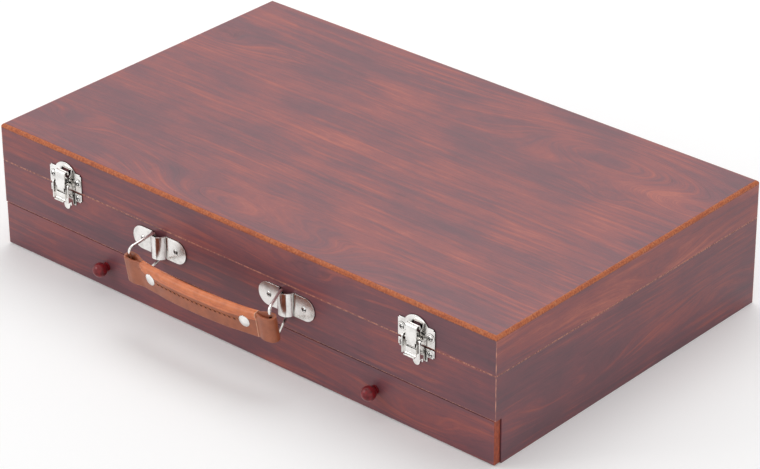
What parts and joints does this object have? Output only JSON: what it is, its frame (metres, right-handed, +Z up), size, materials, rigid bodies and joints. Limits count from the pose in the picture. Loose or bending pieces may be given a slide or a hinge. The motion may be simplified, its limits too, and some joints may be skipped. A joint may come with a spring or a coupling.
{
  "type": "brush box",
  "caption": "Low wooden box with a hinged lid, a full-width drawer below, two draw latches on the front and a leather strap handle on swinging wire rings.",
  "frame": {"origin": "middle of the box's footprint, on the floor under the bottom panel", "axes": "+X to the right seen from the front, +Z up, the front with its latches, handle and drawer faces -Y"},
  "size_m": [0.42, 0.2953, 0.0884],
  "materials": {
    "case_wood": "satin mahogany-grain foil",
    "panel_edge": "satin mahogany-grain foil with stained edges",
    "inner_wood": "plain unfinished",
    "nickel": "bright nickel plate",
    "leather": "smooth tan",
    "knob_wood": "gloss lacquer"
  },
  "bodies": {
    "case": {"case_front": "case_wood", "case_left": "case_wood", "case_right": "case_wood", "case_back": "case_wood", "deck_panel": "inner_wood", "bottom_panel": "inner_wood", "divider_long": "inner_wood", "divider_cross": "inner_wood", "brush_rest_left": "inner_wood", "brush_rest_right": "inner_wood", "latch_base_left": "nickel", "latch_base_right": "nickel", "lever_pin_left": "nickel", "lever_pin_right": "nickel", "handle_plate_left": "nickel", "handle_plate_right": "nickel", "case_screws": "nickel", "hinge_leaf_case_left": "nickel", "hinge_leaf_case_right": "nickel", "hinge_pin_left": "nickel", "hinge_pin_right": "nickel", "hinge_screws_case": "nickel"},
    "lid": {"lid_top": "panel_edge", "lid_front": "case_wood", "lid_back": "case_wood", "lid_left": "case_wood", "lid_right": "case_wood", "strike_left": "nickel", "strike_right": "nickel", "strike_screws": "nickel", "hinge_leaf_lid_left": "nickel", "hinge_leaf_lid_right": "nickel", "hinge_screws_lid": "nickel"},
    "drawer": {"drawer_front": "case_wood", "drawer_left": "inner_wood", "drawer_right": "inner_wood", "drawer_back": "inner_wood", "drawer_bottom": "inner_wood", "drawer_divider_long": "inner_wood", "drawer_divider_cross": "inner_wood", "knob_left": "knob_wood", "knob_right": "knob_wood", "knob_screws": "nickel"},
    "lever_left": {"lever_left": "nickel", "claw_pin_left": "nickel"},
    "lever_right": {"lever_right": "nickel", "claw_pin_right": "nickel"},
    "claw_left": {"claw_left": "nickel"},
    "claw_right": {"claw_right": "nickel"},
    "ring_left": {"ring_left": "nickel"},
    "ring_right": {"ring_right": "nickel"},
    "strap": {"strap_cover": "leather", "strap_liner": "leather", "strap_rivets": "nickel"}
  },
  "joints": [
    {"name": "lid_hinge", "type": "hinge", "parent": "case", "child": "lid", "pos_m": [0, 0.13135, 0.06165], "axis": [-1, 0, 0], "range_deg": [0, 180]},
    {"name": "drawer_slide", "type": "slide", "parent": "case", "child": "drawer", "axis": [0, -1, 0], "range_m": [0, 0.19]},
    {"name": "lever_left_pivot", "type": "hinge", "parent": "case", "child": "lever_left", "pos_m": [-0.1495, -0.1332, 0.06585], "axis": [-1, 0, 0], "range_deg": [0, 95]},
    {"name": "claw_left_pivot", "type": "hinge", "parent": "lever_left", "child": "claw_left", "pos_m": [-0.1495, -0.1334, 0.06246], "axis": [-1, 0, 0], "range_deg": [-76, 0]},
    {"name": "lever_right_pivot", "type": "hinge", "parent": "case", "child": "lever_right", "pos_m": [0.1495, -0.1332, 0.06585], "axis": [-1, 0, 0], "range_deg": [0, 95]},
    {"name": "claw_right_pivot", "type": "hinge", "parent": "lever_right", "child": "claw_right", "pos_m": [0.1495, -0.1334, 0.06246], "axis": [-1, 0, 0], "range_deg": [-76, 0]},
    {"name": "ring_left_pivot", "type": "hinge", "parent": "case", "child": "ring_left", "pos_m": [-0.065, -0.13175, 0.0503], "axis": [0, -0.1736, 0.9848], "range_deg": [-60, 15]},
    {"name": "ring_right_pivot", "type": "hinge", "parent": "case", "child": "ring_right", "pos_m": [0.0445, -0.13175, 0.0503], "axis": [0, -0.1736, 0.9848], "range_deg": [-55.8, 13.95]},
    {"name": "strap_pivot", "type": "hinge", "parent": "ring_left", "child": "strap", "pos_m": [-0.065, -0.1544, 0.04631], "axis": [0, -0.1736, 0.9848], "range_deg": [-13.74, 54.96]}
  ],
  "couplings": [
    {"joint": "claw_left_pivot", "follows": "lever_left_pivot", "ratio": -0.8},
    {"joint": "claw_right_pivot", "follows": "lever_right_pivot", "ratio": -0.8},
    {"joint": "ring_right_pivot", "follows": "ring_left_pivot", "ratio": 0.93},
    {"joint": "strap_pivot", "follows": "ring_left_pivot", "ratio": -0.916}
  ]
}
